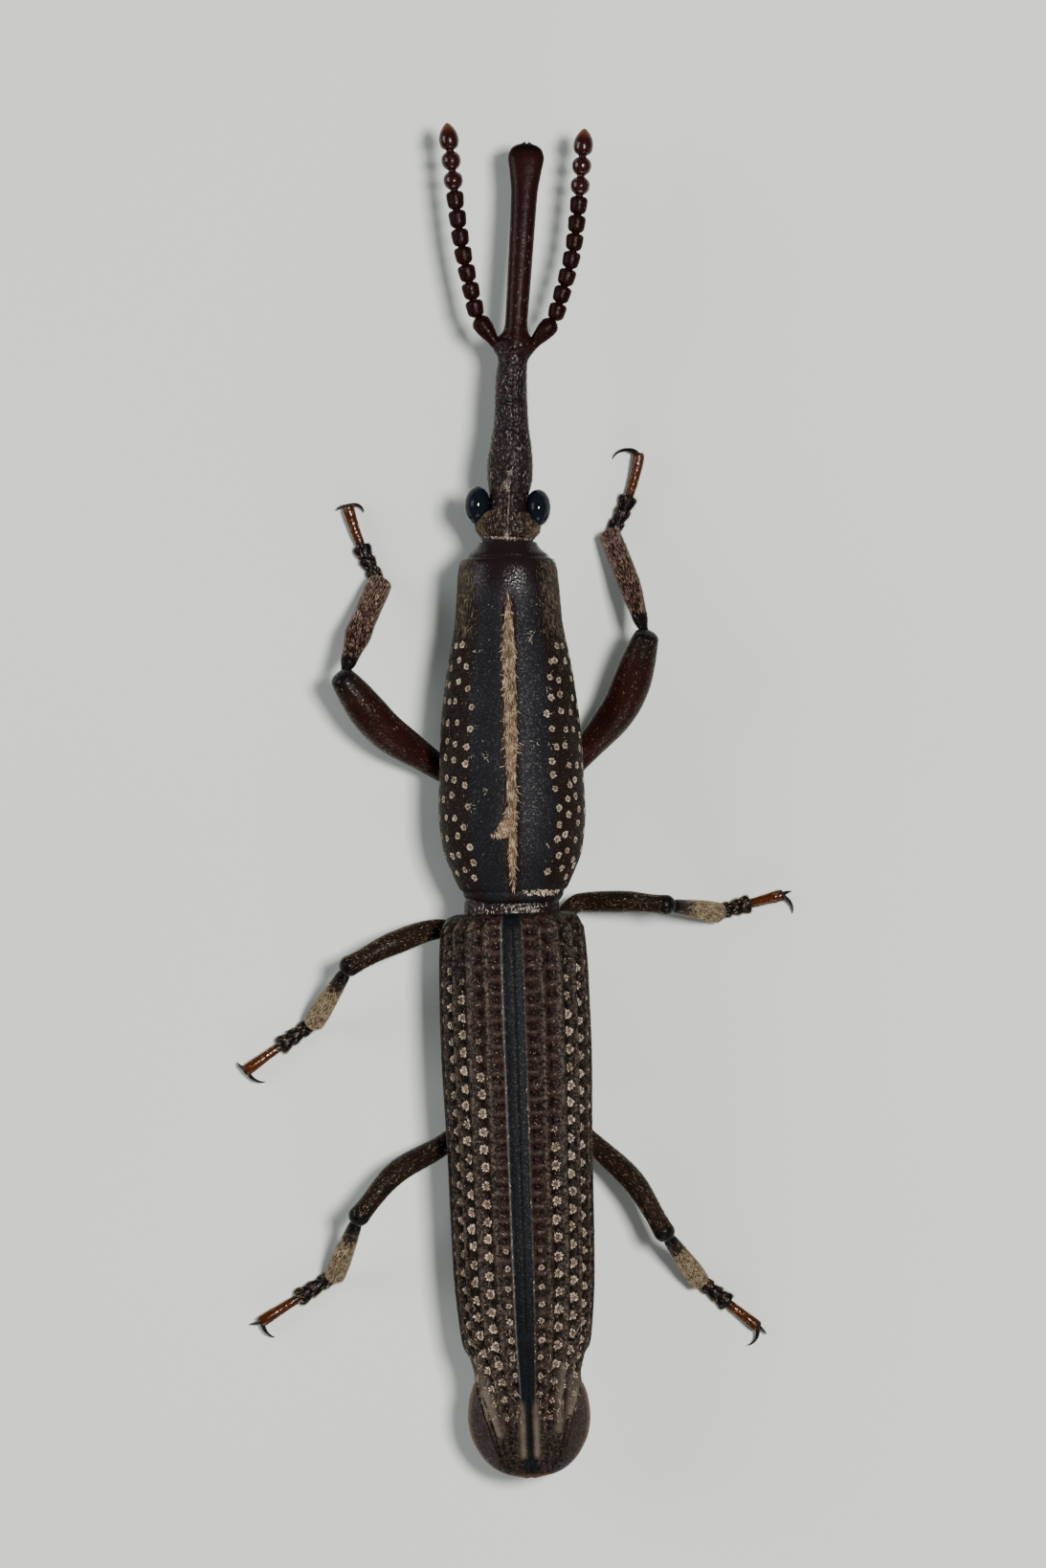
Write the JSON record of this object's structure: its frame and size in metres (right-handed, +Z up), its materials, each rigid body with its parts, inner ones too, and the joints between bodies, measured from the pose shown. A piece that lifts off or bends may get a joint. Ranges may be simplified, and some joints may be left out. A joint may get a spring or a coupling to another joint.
{
  "type": "hormocerus weevil",
  "caption": "Slender straight-snouted weevil with beaded antennae, ribbed wing cases and jointed legs, a still life-size model standing on the floor.",
  "frame": {"origin": "on the floor, under the middle of the box around the whole beetle", "axes": "+Y towards the tip of the snout, +X to the beetle's right, +Z up"},
  "size_m": [0.0168, 0.0406, 0.005],
  "materials": {
    "cuticle_blue_black": "blue-black satin beetle cuticle, pitted, with pale tan scales in the pits",
    "cuticle_brown_black": "brown-black beetle cuticle with short golden hair",
    "cuticle_red_brown": "glossy dark red-brown beetle cuticle",
    "eye_lens": "glossy black compound eye"
  },
  "bodies": {
    "root": {"head": "cuticle_brown_black", "rostrum": "cuticle_red_brown", "eye_left": "eye_lens", "eye_right": "eye_lens", "antenna_left": "cuticle_red_brown", "antenna_right": "cuticle_red_brown", "prothorax": "cuticle_blue_black", "pterothorax": "cuticle_brown_black", "abdomen": "cuticle_brown_black", "elytron_left": "cuticle_blue_black", "elytron_right": "cuticle_blue_black", "fore_left_femur": "cuticle_red_brown", "fore_left_tibia": "cuticle_brown_black", "fore_left_tarsus": "cuticle_brown_black", "fore_right_femur": "cuticle_red_brown", "fore_right_tibia": "cuticle_brown_black", "fore_right_tarsus": "cuticle_brown_black", "mid_left_femur": "cuticle_red_brown", "mid_left_tibia": "cuticle_brown_black", "mid_left_tarsus": "cuticle_brown_black", "mid_right_femur": "cuticle_red_brown", "mid_right_tibia": "cuticle_brown_black", "mid_right_tarsus": "cuticle_brown_black", "hind_left_femur": "cuticle_red_brown", "hind_left_tibia": "cuticle_brown_black", "hind_left_tarsus": "cuticle_brown_black", "hind_right_femur": "cuticle_red_brown", "hind_right_tibia": "cuticle_brown_black", "hind_right_tarsus": "cuticle_brown_black"}
  },
  "joints": []
}
